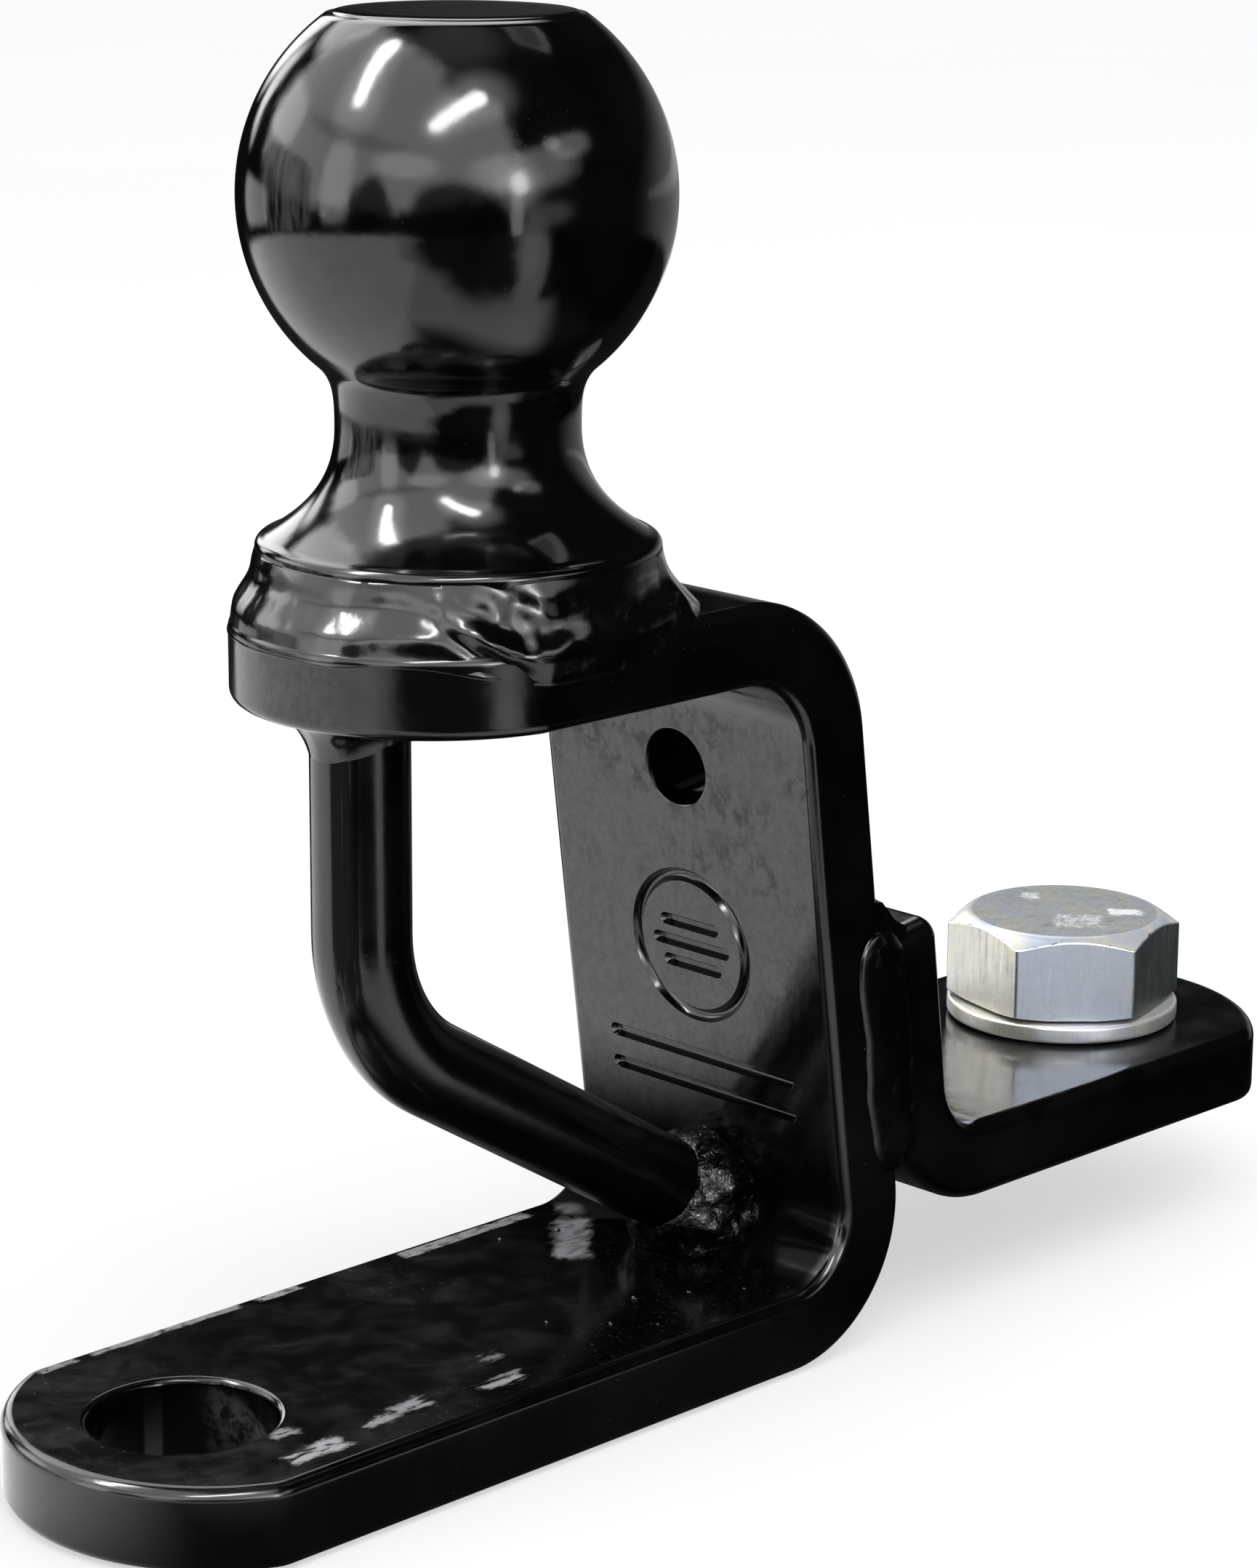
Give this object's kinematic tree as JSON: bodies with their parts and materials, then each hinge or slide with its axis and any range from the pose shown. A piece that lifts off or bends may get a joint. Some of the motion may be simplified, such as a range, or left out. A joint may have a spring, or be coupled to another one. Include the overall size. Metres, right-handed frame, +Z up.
{
  "type": "trailer hitch with ball",
  "caption": "Bent flat-bar trailer hitch with a welded tow ball, a rod brace and a rear foot bracket held by a hex bolt and a spring washer.",
  "frame": {"origin": "the point of the tongue's underside straight below the centre of the ball", "axes": "+Z up through the ball, +X towards the vehicle and the mounting foot, the bar centred on y = 0"},
  "size_m": [0.1899, 0.048, 0.1576],
  "materials": {
    "black_paint": "gloss black powder coat on steel",
    "black_weld": "gloss black powder coat over weld bead",
    "zinc_plate": "bright zinc plate, satin",
    "zinc_washer": "bright zinc plate, slightly yellow"
  },
  "bodies": {
    "weldment": {"hitch_frame": "black_paint", "tow_ball": "black_paint", "ball_weld": "black_weld", "brace_rod": "black_paint", "rod_upper_weld": "black_weld", "rod_lower_weld": "black_weld", "mount_bracket": "black_paint", "bracket_weld_top": "black_weld", "bracket_weld_near": "black_weld", "bracket_weld_far": "black_weld", "bracket_weld_bottom": "black_weld"},
    "washer": {"lock_washer": "zinc_washer"},
    "bolt": {"mounting_bolt": "zinc_plate"}
  },
  "joints": [
    {"name": "washer_lift", "type": "slide", "parent": "weldment", "child": "washer", "axis": [0, 0, 1], "range_m": [0, 0.03]},
    {"name": "bolt_turn", "type": "hinge", "parent": "washer", "child": "bolt", "pos_m": [0.1058, 0, 0.0272], "axis": [0, 0, 1], "continuous": true}
  ]
}
